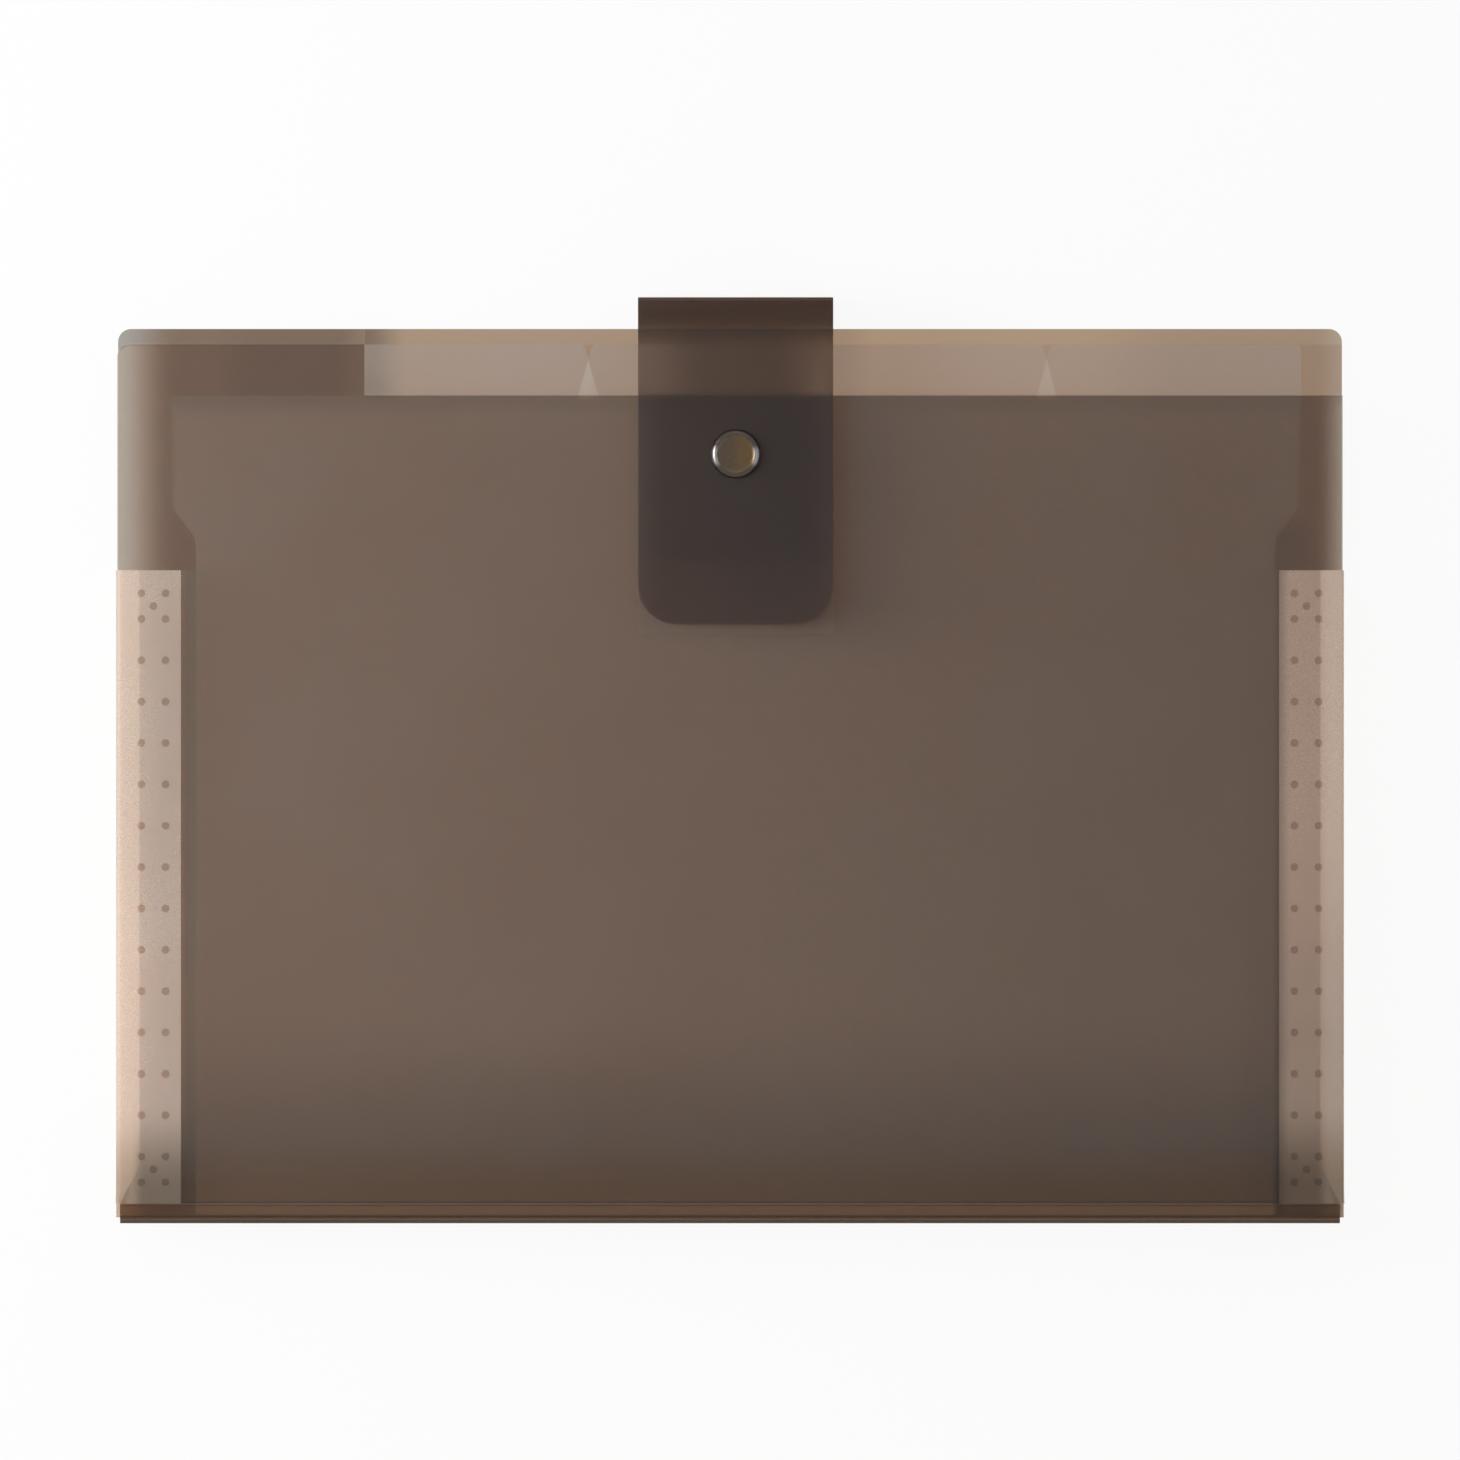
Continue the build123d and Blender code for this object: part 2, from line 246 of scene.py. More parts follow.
# Frosted plastic sheet: each face lets light through tinted, and a share of it is milky.
def sheetFinish(name, look, tint=None, milk=None, shade=None):
    finish, tree = newFinish(name)
    p = sheetPattern
    place, (across, up, off) = objectPlace(tree)
    clouds = addNode(tree, 'TexNoise', {
        'Vector': place, 'Scale': p['cloudScale'], 'Detail': p['cloudDetail']}).outputs[0]
    grain = addNode(tree, 'TexNoise', {
        'Vector': place, 'Scale': look['grain'], 'Detail': p['grainDetail']}).outputs[0]
    mottle = slope(tree, clouds, *p['cloudEnds'], 1 - look['mottle'], 1 + look['mottle'])
    speckle = slope(tree, grain, *p['grainEnds'], 1 - look['speckle'], 1 + look['speckle'])
    share = product(tree, product(tree, mottle, look['milk']), speckle)
    if milk:
        share = product(tree, share, milk(tree, across, up, off))
    facing = addNode(tree, 'LayerWeight', {'Blend': p['edgeBlend']}).outputs['Facing']
    edgeOn = product(tree, calc(tree, 'POWER', facing, p['edgePower']), look['edgeOn'])
    share = calc(tree, 'MINIMUM', calc(tree, 'ADD', share, edgeOn), 1.0)
    bump = addNode(tree, 'Bump', {
        'Height': grain, 'Strength': p['bumpStrength'], 'Distance': look['bump'] * mm})
    rough = slope(tree, clouds, *p['cloudEnds'], look['rough'] - p['roughPlay'],
                  look['rough'] + p['roughPlay'])
    body = addNode(tree, 'BsdfPrincipled', {
        'Base Color': shade(tree, across, up, off) if shade else colour(*look['colour']),
        'Roughness': rough, 'Normal': bump.outputs[0],
        'Specular IOR Level': p['gloss'], 'IOR': p['bending']})
    seen = tint(tree, across, up, off) if tint else colour(*look['tint'])
    through = addNode(tree, 'BsdfTransparent', {'Color': seen})
    sheet = addNode(tree, 'MixShader', {0: share, 1: through.outputs[0], 2: body.outputs[0]})
    lit = addNode(tree, 'BsdfTransparent', {'Color': colour(*look['lit'])})
    fromLamp = addNode(tree, 'LightPath').outputs['Is Shadow Ray']
    both = addNode(tree, 'MixShader', {0: fromLamp, 1: sheet.outputs[0], 2: lit.outputs[0]})
    addNode(tree, 'OutputMaterial', {'Surface': both.outputs[0]})
    return finish


# Cover finish

coverLook = {
    'tint': (0.616, 0.492, 0.396), 'edgeTint': (0.875, 0.845, 0.815), 'lowShadeTint': (0.40, 0.283, 0.19),
    'stripLightAndShadow': (1.06, 1.095, 1.10), 'tabShadowTint': (0.77, 0.77, 0.77), 'colour': (0.345, 0.49, 0.55),
    'lowShadeColour': (0.29, 0.33, 0.31), 'milk': 0.08, 'edgeOn': 0.3, 'lit': (0.93, 0.92, 0.91),
    'rough': 0.42, 'grain': 3500.0, 'bump': 0.003, 'mottle': 0.06, 'speckle': 0.03,
}
coverShade = {
    'frontLevel': 20,  # faces above this level are the front cover's
    'leftSide': (-148, -165), 'leftLight': 0.8, 'rightSide': (157, 166), 'frontLight': 0.95,
    'backHeights': (224, 218), 'backLight': (0.25, 0.6),
    'score': 4.9, 'scoreReach': (0.4, 2.0), 'lowHeights': (60, 8), 'lowShare': 0.5,
    'stripHeights': (235.6, 236.6), 'cornerSide': (-161.5, -164.6), 'cornerDrop': 1.6,
    'tabEnd': (-105, -86), 'tabHeights': (221, 224),
    'overTab': (-140, -128), 'overTabEnd': (-100, -106), 'overTabShade': 0.045,
    'besideTab': (-86, -97), 'besideTabHeights': (232, 223), 'besideTabShade': (0.14, 0.2),
    'tabSide': -98.1,
    'hook': (143.5, 147), 'hookEnd': (160, 152), 'hookShade': 0.06,
    'hookHeights': (191, 184), 'hookFoot': (174, 177),
    'rightTabs': (30, 40), 'rightTabsEnd': (125, 90), 'rightTabsLight': 0.075,
    'width': (-150, 160), 'sideLightFalloff': (1.03, 0.965), 'lowShadeHeights': (24, 8),
}


# Painted light: the covers are painted lighter at their sides, where light comes in between the sheets.
def coverSideLight(tree, across, up, off):
    c = coverShade
    isFront = calc(tree, 'GREATER_THAN', off, c['frontLevel'] * mm)
    left = ramp(tree, across, c['leftSide'], 0.0, c['leftLight'])
    onBack = heightRamp(tree, up, c['backHeights'], *c['backLight'])
    right = product(tree, ramp(tree, across, c['rightSide']),
                    choice(tree, isFront, onBack, c['frontLight']))
    return calc(tree, 'MAXIMUM', left, right)


# Painted shade: they are darker towards the spine, darkest at the scored fold.
def coverLowShade(tree, up):
    c = coverShade
    score = ramp(tree, awayFrom(tree, up, spineLine + c['score']), c['scoreReach'], 1.0, 0.0)
    return calc(tree, 'MAXIMUM', score, heightRamp(tree, up, c['lowHeights'], 0.0, c['lowShare']))


# The back cover's strip above the tabs: grey over the raised tab, a painted shadow, and paler beyond it,
# painted light
def coverStripTint(tree, across, up):
    c = coverShade
    corner = ramp(tree, across, c['cornerSide'], 0.0, c['cornerDrop'] * mm)
    strip = heightRamp(tree, calc(tree, 'ADD', up, corner), c['stripHeights'])
    stripLightAndShadow = mixColour(tree, ramp(tree, across, c['tabEnd']), colour(*coverLook['tabShadowTint']),
                          colour(*coverLook['stripLightAndShadow']))
    return mixColour(tree, strip, colour(1, 1, 1), stripLightAndShadow)


# Painted soft shadows round the raised tab and at the hook of the right notch, painted light on the tabs
# right of the strap
def coverSoftShade(tree, across, up):
    c = coverShade
    overTab = product(tree, ramp(tree, across, c['overTab']),
                      ramp(tree, across, c['overTabEnd'], 0.0, c['overTabShade']))
    besideTab = product(tree, ramp(tree, across, c['besideTab']),
                        heightRamp(tree, up, c['besideTabHeights'], *c['besideTabShade']))
    besideTab = product(tree, besideTab, calc(tree, 'GREATER_THAN', across, c['tabSide'] * mm))
    rightTabs = product(tree, ramp(tree, across, c['rightTabs'], 0.0, c['rightTabsLight']),
                        ramp(tree, across, c['rightTabsEnd']))
    shaded = calc(tree, 'SUBTRACT', calc(tree, 'ADD', overTab, besideTab), rightTabs)
    hook = product(tree, ramp(tree, across, c['hook'], 0.0, c['hookShade']),
                   ramp(tree, across, c['hookEnd']))
    hook = product(tree, hook, heightRamp(tree, up, c['hookHeights']))
    hook = product(tree, hook, heightRamp(tree, up, c['hookFoot']))
    return calc(tree, 'ADD', product(tree, shaded, heightRamp(tree, up, c['tabHeights'])), hook)


def coverTint(tree, across, up, off):
    look = coverLook
    seen = mixColour(tree, coverSideLight(tree, across, up, off), colour(*look['tint']),
                     colour(*look['edgeTint']))
    seen = mixColour(tree, coverLowShade(tree, up), seen, colour(*look['lowShadeTint']))
    seen = timesColour(tree, seen, coverStripTint(tree, across, up))
    # Painted light: the covers are a little lighter at the left than at the right.
    sideLightFalloff = ramp(tree, across, coverShade['width'], *coverShade['sideLightFalloff'])
    clear = calc(tree, 'SUBTRACT', 1.0, coverSoftShade(tree, across, up))
    return scaleColour(tree, seen, product(tree, sideLightFalloff, clear))


# Painted shade: towards the spine the covers' milky colour is darker and browner.
def coverColour(tree, across, up, off):
    return mixColour(tree, heightRamp(tree, up, coverShade['lowShadeHeights']), colour(*coverLook['colour']),
                     colour(*coverLook['lowShadeColour']))


# Spine finishes

spineLook = dict(coverLook, tint=(0.58, 0.455, 0.35), colour=(0.38, 0.36, 0.32), bump=0.001,
                 speckle=0.01, mottle=0.03)
creaseLook = {
    'tint': (0.84, 0.79, 0.74), 'colour': (0.27, 0.23, 0.20), 'milk': 0.14, 'edgeOn': 0.3,
    'lit': (0.88, 0.87, 0.86), 'rough': 0.3, 'grain': 1500.0, 'bump': 0.001, 'mottle': 0.03,
    'speckle': 0.02,
}


# Divider finish

dividerLook = {
    'tint': (1.0, 0.998, 0.993), 'colour': (0.80, 0.86, 0.98), 'tabColour': (0.55, 0.62, 0.68),
    'overlapColour': (0.77, 0.785, 0.79), 'milk': 0.08, 'edgeOn': 0.15, 'lit': (0.99, 0.99, 0.985),
    'rough': 0.38, 'grain': 3800.0, 'bump': 0.006, 'mottle': 0.05, 'speckle': 0.03,
}
dividerShade = {
    'middle': 1.5, 'coverEdge': (216, 221.5), 'side': (149.6, 152), 'sideMilk': (1.15, 0.25),
    'overlaps': (-38.1, 23.5, 85.1),  # where neighbouring tabs overlap in a small wedge
    'overlapReach': 2.7, 'overlapFoot': 222.3, 'overlapHeight': 9.7, 'overlapBlur': 0.25,
    'footBlur': (-1.5, -0.5),
}


# Under the front cover the dividers' side edges blur away, and they are milkier and painted paler, as
# painted light.
def underCover(tree, up):
    return heightRamp(tree, up, dividerShade['coverEdge'], 1.0, 0.0)


def dividerMilk(tree, across, up, off):
    d = dividerShade
    blur = ramp(tree, awayFrom(tree, across, d['middle']), d['side'], *d['sideMilk'])
    return choice(tree, underCover(tree, up), 1.0, blur)


def inTabOverlap(tree, across, up):
    d = dividerShade
    aside = awayFrom(tree, across, d['overlaps'][0])
    for middle in d['overlaps'][1:]:
        aside = calc(tree, 'MINIMUM', aside, awayFrom(tree, across, middle))
    risen = calc(tree, 'SUBTRACT', up, (spineLine + d['overlapFoot']) * mm)
    spread = calc(tree, 'ADD', aside, product(tree, risen, d['overlapReach'] / d['overlapHeight']))
    inside = ramp(tree, spread, (d['overlapReach'] + d['overlapBlur'], d['overlapReach'] - d['overlapBlur']))
    return product(tree, inside, ramp(tree, risen, d['footBlur']))


# The tabs are palest where two overlap; under the front cover the dividers take a paler colour, as painted
# light.
def dividerColour(tree, across, up, off):
    look = dividerLook
    tab = mixColour(tree, inTabOverlap(tree, across, up), colour(*look['tabColour']),
                    colour(*look['overlapColour']))
    return mixColour(tree, underCover(tree, up), tab, colour(*look['colour']))


# Gusset finishes

gussetLook = {
    'tint': (0.95, 0.92, 0.89), 'innerTint': (1, 0.995, 0.99), 'rightShadeTint': (0.95, 0.875, 0.82),
    'colour': (0.80, 0.70, 0.62), 'rightShadeColour': (0.80, 0.64, 0.53), 'innerColour': (0.50, 0.66, 0.74),
    'footShadeTone': (1.0, 0.91, 0.80), 'milk': 0.28, 'edgeOn': 0.3, 'lit': (0.985, 0.98, 0.975),
    'rough': 0.36, 'grain': 3000.0, 'bump': 0.006, 'mottle': 0.08, 'speckle': 0.06,
}
weldLook = {
    'tint': (0.83, 0.71, 0.62), 'colour': (0.44, 0.36, 0.30), 'milk': 0.32, 'edgeOn': 0.2,
    'lit': (0.9, 0.88, 0.85), 'rough': 0.3, 'grain': 3000.0, 'bump': 0.006, 'mottle': 0.05,
    'speckle': 0.05,
}
gussetShade = {
    'middle': 1.5, 'band': (144.2, 145.4), 'bandMilk': (0.04, 0.17),
    'outside': (145.5, 147.4), 'outsideMilk': (0.04, 1.0),
    'foot': (34, 8), 'foldSide': (157, 161), 'footLight': (0.47, 0.72),
    'leftHeights': (130, 60), 'leftLight': (1.0, 1.1), 'rightHeights': (110, 45), 'rightLight': (1.0, 0.88),
    'margin': (147, 150.5), 'marginLight': (0.72, 1.0), 'rightFlange': (161, 157.5),
    'frontLevel': 25.5,  # faces above this level are the front flange's
}


# How far a face lies outside the dividers' sides
def outsideDividers(tree, across, low=0.0, high=1.0):
    return ramp(tree, calc(tree, 'ABSOLUTE', across), gussetShade['outside'], low, high)


# A gusset's film lies clear on the dividers and is milky outside them.
def gussetMilk(tree, across, up, off):
    g = gussetShade
    inner = ramp(tree, awayFrom(tree, across, g['middle']), g['band'], *g['bandMilk'])
    return calc(tree, 'MAXIMUM', inner, outsideDividers(tree, across, *g['outsideMilk']))


# Painted shade: gussets are darker towards the spine, and the right one also from half way down.
def gussetLight(tree, across, up):
    g = gussetShade
    onRight = calc(tree, 'GREATER_THAN', across, 0.0)
    darkest = ramp(tree, calc(tree, 'ABSOLUTE', across), g['foldSide'], *g['footLight'])
    foot = choice(tree, heightRamp(tree, up, g['foot']), 1.0, darkest)
    left = heightRamp(tree, up, g['leftHeights'], *g['leftLight'])
    right = heightRamp(tree, up, g['rightHeights'], *g['rightLight'])
    margin = calc(tree, 'MAXIMUM', ramp(tree, across, g['margin'], *g['marginLight']),
                  calc(tree, 'LESS_THAN', across, g['margin'][0] * mm))
    right = product(tree, right, margin)
    return product(tree, foot, choice(tree, onRight, left, right))


# How far the right flange's browner look applies: where a cover lies under it. It is partly painted shade.
def onRightFlange(tree, across):
    onRight = calc(tree, 'GREATER_THAN', across, 0.0)
    return ramp(tree, across, gussetShade['rightFlange'], 0.0, onRight)


def gussetTint(tree, across, up, off):
    look = gussetLook
    onFront = calc(tree, 'GREATER_THAN', off, gussetShade['frontLevel'] * mm)
    milky = mixColour(tree, product(tree, onRightFlange(tree, across), onFront), colour(*look['tint']),
                      colour(*look['rightShadeTint']))
    seen = mixColour(tree, outsideDividers(tree, across), colour(*look['innerTint']), milky)
    return scaleColour(tree, seen, choice(tree, onFront, 1.0, softLight(tree, across, up)))


def gussetColour(tree, across, up, off):
    look = gussetLook
    milky = mixColour(tree, onRightFlange(tree, across), colour(*look['colour']),
                      colour(*look['rightShadeColour']))
    # Painted shade: the milky colour turns warmer towards the spine and takes the gussets' painted shade.
    tone = mixColour(tree, heightRamp(tree, up, gussetShade['foot']), colour(1, 1, 1),
                     colour(*look['footShadeTone']))
    milky = timesColour(tree, milky, tone)
    base = mixColour(tree, outsideDividers(tree, across), colour(*look['innerColour']), milky)
    return scaleColour(tree, base, gussetLight(tree, across, up))


# Light that comes through a film crosses two faces, so each takes the root of the painted shading.
def softLight(tree, across, up):
    return calc(tree, 'POWER', calc(tree, 'MINIMUM', gussetLight(tree, across, up), 1.0), 0.5)


# The weld marks take the gussets' painted shade.
def weldTint(tree, across, up, off):
    return scaleColour(tree, weldLook['tint'], softLight(tree, across, up))


def weldColour(tree, across, up, off):
    return scaleColour(tree, weldLook['colour'], gussetLight(tree, across, up))


# Strap and patch finishes

strapLook = {
    'tint': (0.53, 0.45, 0.39), 'topTint': (0.44, 0.34, 0.225), 'midTint': (0.645, 0.555, 0.46),
    'sideTint': (0.77, 0.69, 0.61), 'borderTint': (0.62, 0.55, 0.51), 'colour': (0.30, 0.275, 0.275),
    'milk': 0.10, 'edgeOn': 0.4, 'lit': (0.56, 0.54, 0.53), 'rough': 0.4, 'grain': 3000.0,
    'bump': 0.008, 'mottle': 0.05, 'speckle': 0.03,
}
strapShade = {
    'middle': 1.5, 'side': (9, 25), 'border': (17, 26), 'borderShare': 0.8,
    'foot': (184, 166), 'footShare': 0.4, 'coverEdge': (220.5, 224.5), 'top': (234, 244),
}
patchLook = {
    'tint': (0.94, 0.935, 0.93), 'colour': (0.38, 0.37, 0.36), 'milk': 0.055, 'edgeOn': 0.3,
    'lit': (0.9, 0.88, 0.86), 'rough': 0.4, 'grain': 3000.0, 'bump': 0.008, 'mottle': 0.05,
    'speckle': 0.03,
}


# The strap is darkest round its top. Between there and the front cover's edge it lets more light
# through, most near its sides.
def strapTint(tree, across, up, off):
    look, s = strapLook, strapShade
    reach = awayFrom(tree, across, s['middle'])
    middle = mixColour(tree, ramp(tree, reach, s['side']), colour(*look['midTint']),
                       colour(*look['sideTint']))
    border = calc(tree, 'MAXIMUM', ramp(tree, reach, s['border'], 0.0, s['borderShare']),
                  heightRamp(tree, up, s['foot'], 0.0, s['footShare']))
    flap = mixColour(tree, border, colour(*look['tint']), colour(*look['borderTint']))
    seen = mixColour(tree, heightRamp(tree, up, s['coverEdge']), flap, middle)
    return mixColour(tree, heightRamp(tree, up, s['top']), seen, colour(*look['topTint']))


coverFinish = sheetFinish('cover_frosted', coverLook, tint=coverTint, shade=coverColour)
spineFinish = sheetFinish('spine_frosted', spineLook)
dividerFinish = sheetFinish('divider_frosted', dividerLook, milk=dividerMilk, shade=dividerColour)
gussetFinish = sheetFinish('gusset_film', gussetLook, gussetTint, gussetMilk, gussetColour)
weldFinish = sheetFinish('weld_mark', weldLook, tint=weldTint, shade=weldColour)
strapFinish = sheetFinish('strap_smoke', strapLook, tint=strapTint)
patchFinish = sheetFinish('patch_smoke', patchLook)
creaseFinish = sheetFinish('crease_pressed', creaseLook)


# Snap finishes

snapLook = {
    'colour': (0.088, 0.066, 0.046), 'rimShadeColour': (0.075, 0.06, 0.05), 'glint': (0.25, 0.235, 0.225),
    'warm': (0.105, 0.066, 0.032), 'rough': 0.3, 'roughPlay': 0.06, 'metal': 0.85, 'worn': 0.8,
    'ringScale': 900.0, 'ringPlay': 1.5, 'ringDetail': 2.0, 'spotScale': 700.0, 'spotEnds': (0.3, 0.7),
    'bump': 0.01, 'bumpStrength': 0.15,
    'warmSide': (-2, 2), 'glintSide': (3.4, 4.8), 'glintDrop': 0.6, 'glintHeight': (3.2, 1.2),
}
snapMiddle = (1.5 * mm, (spineLine + 206.6) * mm, 0)


# Painted reflection: the disc is warmer at its right.
def warmSide(tree, look, across, up, shade):
    warm = ramp(tree, calc(tree, 'SUBTRACT', across, snapMiddle[0]), look['warmSide'])
    return mixColour(tree, warm, shade, colour(*look['warm']))


# Painted highlight: the rim is lighter at its two sides, where it catches light.
def rimGlint(tree, look, across, up, shade):
    side = calc(tree, 'ABSOLUTE', calc(tree, 'SUBTRACT', across, snapMiddle[0]))
    level = calc(tree, 'ABSOLUTE', calc(tree, 'SUBTRACT', up, snapMiddle[1] - look['glintDrop'] * mm))
    share = product(tree, ramp(tree, side, look['glintSide']), ramp(tree, level, look['glintHeight']))
    return mixColour(tree, share, shade, colour(*look['glint']))


# Satin metal with fine turning marks about the snap's middle
def satinFinish(name, look, base, light):
    finish, tree = newFinish(name)
    place, (across, up, _) = objectPlace(tree)
    centred = addNode(tree, 'Mapping', {'Vector': place, 'Location': [-c for c in snapMiddle]})
    rings = addNode(tree, 'TexWave', {
        'Vector': centred.outputs[0], 'Scale': look['ringScale'], 'Distortion': look['ringPlay'],
        'Detail': look['ringDetail']}, wave_type='RINGS', rings_direction='Z')
    spots = addNode(tree, 'TexNoise', {'Vector': place, 'Scale': look['spotScale']}).outputs[0]
    rough = slope(tree, spots, *look['spotEnds'], look['rough'] - look['roughPlay'],
                  look['rough'] + look['roughPlay'])
    bump = addNode(tree, 'Bump', {
        'Height': rings.outputs[1], 'Strength': look['bumpStrength'], 'Distance': look['bump'] * mm})
    shade = mixColour(tree, spots, colour(*(c * look['worn'] for c in base)), colour(*base))
    metal = addNode(tree, 'BsdfPrincipled', {
        'Base Color': light(tree, look, across, up, shade), 'Metallic': look['metal'],
        'Roughness': rough, 'Normal': bump.outputs[0]})
    addNode(tree, 'OutputMaterial', {'Surface': metal.outputs[0]})
    return finish


snapFinish = satinFinish('snap_satin', snapLook, snapLook['colour'], warmSide)
# The rim is a little darker than the disc: a painted shade round the cap.
rimFinish = satinFinish('snap_rim', snapLook, snapLook['rimShadeColour'], rimGlint)


def dress(piece, *finishes):
    piece.data.materials.clear()
    for finish in finishes:
        piece.data.materials.append(finish)


nodeFinishes = {
    'back_cover': coverFinish, 'front_cover': coverFinish, 'spine': spineFinish,
    'divider': dividerFinish, 'snap': snapFinish, 'strap': strapFinish, 'closure': patchFinish,
}
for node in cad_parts:
    for start, finish in nodeFinishes.items():
        if node.startswith(start):
            dress(bpy.data.objects[node], finish)
print('finishes made')


# Gussets

gusset = {
    'heights': (5.4, 9.0, 13.0, 175.37), 'middleFoot': 1.6,  # above the spine's lowest line
    'film': 0.3, 'pitch': 4.8, 'frontFlange': 26.4, 'backFlange': 0.8,
    'firstBand': 6.0,  # level of the band under the rearmost divider
    'bandGap': 0.8,    # from there to the band on its other face
    'frontHold': 24.4, 'backHold': 2.8,  # the covers hold their flanges from these levels on
    # Runs of places out from the middle, each with its rise from the flange or from the band
    'flange': (147.4, 153.6, 158.6),
    'roll': ((162.6, 0.05), (164.4, 0.4), (164.9, 1.3), (164.0, 2.1), (161.0, 2.8)),
    'pleat': ((154.0, 1.2), (147.5, 0.1), (146.0, 0.0), (138.0, 0.0)),
    'halfFold': ((138.0, 0.0), (146.0, 0.0), (147.5, 0.1), (155.0, 0.5), (162.5, 0.7), (164.3, 1.1)),
    'fold': 164.9,
    'footSpread': ((162.6, 1.6), (164.4, 0.4)),  # the foot passes over the cover's corner
}


def finishGusset(piece):
    addModifier(piece, 'SUBSURF', levels=2, render_levels=2, boundary_smooth='PRESERVE_CORNERS')
    addModifier(piece, 'SOLIDIFY', thickness=gusset['film'] * mm, offset=0)
    turnOutwards(piece)


# One end of a gusset: the flange on a cover, the outer roll and half of a pleat.
def makeGussetEnd(name, flange, band):
    way = 1 if band > flange else -1
    run = [(x, flange) for x in gusset['flange']]
    run += [(x, flange + way * rise) for x, rise in gusset['roll']]
    run += [(x, band - way * rise) for x, rise in gusset['pleat']]
    heights = [spineLine + height for height in gusset['heights']]
    reaches = [(0, there - here, 0) for here, there in zip(heights, heights[1:])]
    piece = drawSheet(name, [(x, heights[0], z) for x, z in run], reaches)
    for x, shift in gusset['footSpread']:
        choose(piece, 'VERT', lambda p, n: p.y < heights[0] + 1 and abs(p.x - x) < near)
        moveChosen((shift, 0, 0))
        closeEdit()
    finishGusset(piece)
    return piece


# Levels of the bands that a middle pleat joins
def pleatLevels(number):
    below = frontBand - (number - 1) * gusset['pitch']
    return below, below + gusset['pitch'] - gusset['bandGap']


# One of a gusset's pleats between two dividers
def makeGussetMiddle(name, below, above):
    run = [(x, below + rise) for x, rise in gusset['halfFold']]
    run += [(gusset['fold'], (below + above) / 2)]
    run += [(x, above + below - z) for x, z in run[-2::-1]]
    foot, head = spineLine + gusset['middleFoot'], spineLine + gusset['heights'][-1]
    piece = drawSheet(name, [(x, foot, z) for x, z in run], [(0, head - foot, 0)])
    finishGusset(piece)
    return piece


# Spot welds: one small cutter, copied over the flange, leaves the dimples.
welds = {
    'radius': 1.35, 'depth': 0.14, 'rows': 14, 'pitch': 11.1, 'highest': 162.3, 'endStep': 6.9,
    'columns': (151.5, 158.0), 'taper': 0.75, 'cutterReach': 0.5, 'corners': 20,
}


def weldPlaces():
    w = welds
    lowest = w['highest'] - (w['rows'] - 1) * w['pitch']
    rows = [w['highest'] - row * w['pitch'] for row in range(w['rows'])]
    rows += [lowest - w['endStep'], w['highest'] + w['endStep']]
    middle = sum(w['columns']) / 2
    places = [(column, row) for column in w['columns'] for row in rows]
    places += [(middle, lowest - w['endStep'] / 2), (middle, w['highest'] + w['endStep'] / 2)]
    return places


def cutWelds(piece, face):
    w = welds
    spot = newPiece('weld_cutter', bpy.ops.mesh.primitive_cylinder_add, vertices=w['corners'],
                    radius=w['radius'] * mm, depth=2 * w['cutterReach'] * mm)
    choose(spot, 'FACE', lambda p, n: n.z * face < -along)
    bpy.ops.transform.resize(value=(w['taper'], w['taper'], 1))
    closeEdit()
    copies = []
    level = gusset['frontFlange'] if face > 0 else gusset['backFlange']
    middleLevel = level + face * (gusset['film'] / 2 - w['depth'] + w['cutterReach'])
    for x, row in weldPlaces():
        copy = copyPiece(spot, 'weld_cutter_copy')
        copy.location = Vector((x, spineLine + row, middleLevel)) * mm
        copies.append(copy)
    deselectAll()
    for copy in copies:
        copy.select_set(True)
    bpy.context.view_layer.objects.active = copies[0]
    bpy.ops.object.join()
    cutter = bpy.context.object
    bpy.ops.object.transform_apply(location=True, rotation=True, scale=True)
    dress(cutter, weldFinish)
    addModifier(piece, 'BOOLEAN', operation='DIFFERENCE', object=cutter, solver='EXACT',
                material_mode='TRANSFER')
    for used in (spot, cutter):
        bpy.data.objects.remove(used)


# The film's placement is baked into its mesh.
def hangBetween(piece, rear, front, rearLevel, frontLevel):
    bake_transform(piece)


frontBand = gusset['firstBand'] + gusset['bandGap'] + 3 * gusset['pitch']
rightEnd = makeGussetEnd('right_front_gusset', gusset['frontFlange'], frontBand)
dress(rightEnd, gussetFinish)
cutWelds(rightEnd, 1)
rearEnd = makeGussetEnd('right_back_gusset', gusset['backFlange'], gusset['firstBand'])
dress(rearEnd, gussetFinish)
cutWelds(rearEnd, -1)
middles = {}
for number in (2, 3, 4):
    middles[number] = makeGussetMiddle(f'right_gusset_{number}', *pleatLevels(number))
    dress(middles[number], gussetFinish)

for side in sides:
    ends = rightEnd, rearEnd
    if side == 'left':
        ends = tuple(copyPiece(end, end.name.replace('right', 'left')) for end in ends)
        for end in ends:
            mirrorPiece(end)
    frontEnd, backEnd = ends
    smoothPiece(frontEnd)
    smoothPiece(backEnd)
    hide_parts(f'{side}_front_flange', f'{side}_pleat_1')
    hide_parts(f'{side}_back_flange', f'{side}_pleat_5')
    hangBetween(frontEnd, 'divider_1', 'front', frontBand, gusset['frontHold'])
    hangBetween(backEnd, 'back', 'divider_4', gusset['backHold'], gusset['firstBand'])
    for number, middle in middles.items():
        if side == 'left':
            middle = copyPiece(middle, f'left_gusset_{number}')
            mirrorPiece(middle)
        smoothPiece(middle)
        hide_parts(f'{side}_pleat_{number}')
        hangBetween(middle, f'divider_{number}', f'divider_{number - 1}', *pleatLevels(number))
print('gussets made')


# Pressed folds of the spine: a thin web bridges each fold line.

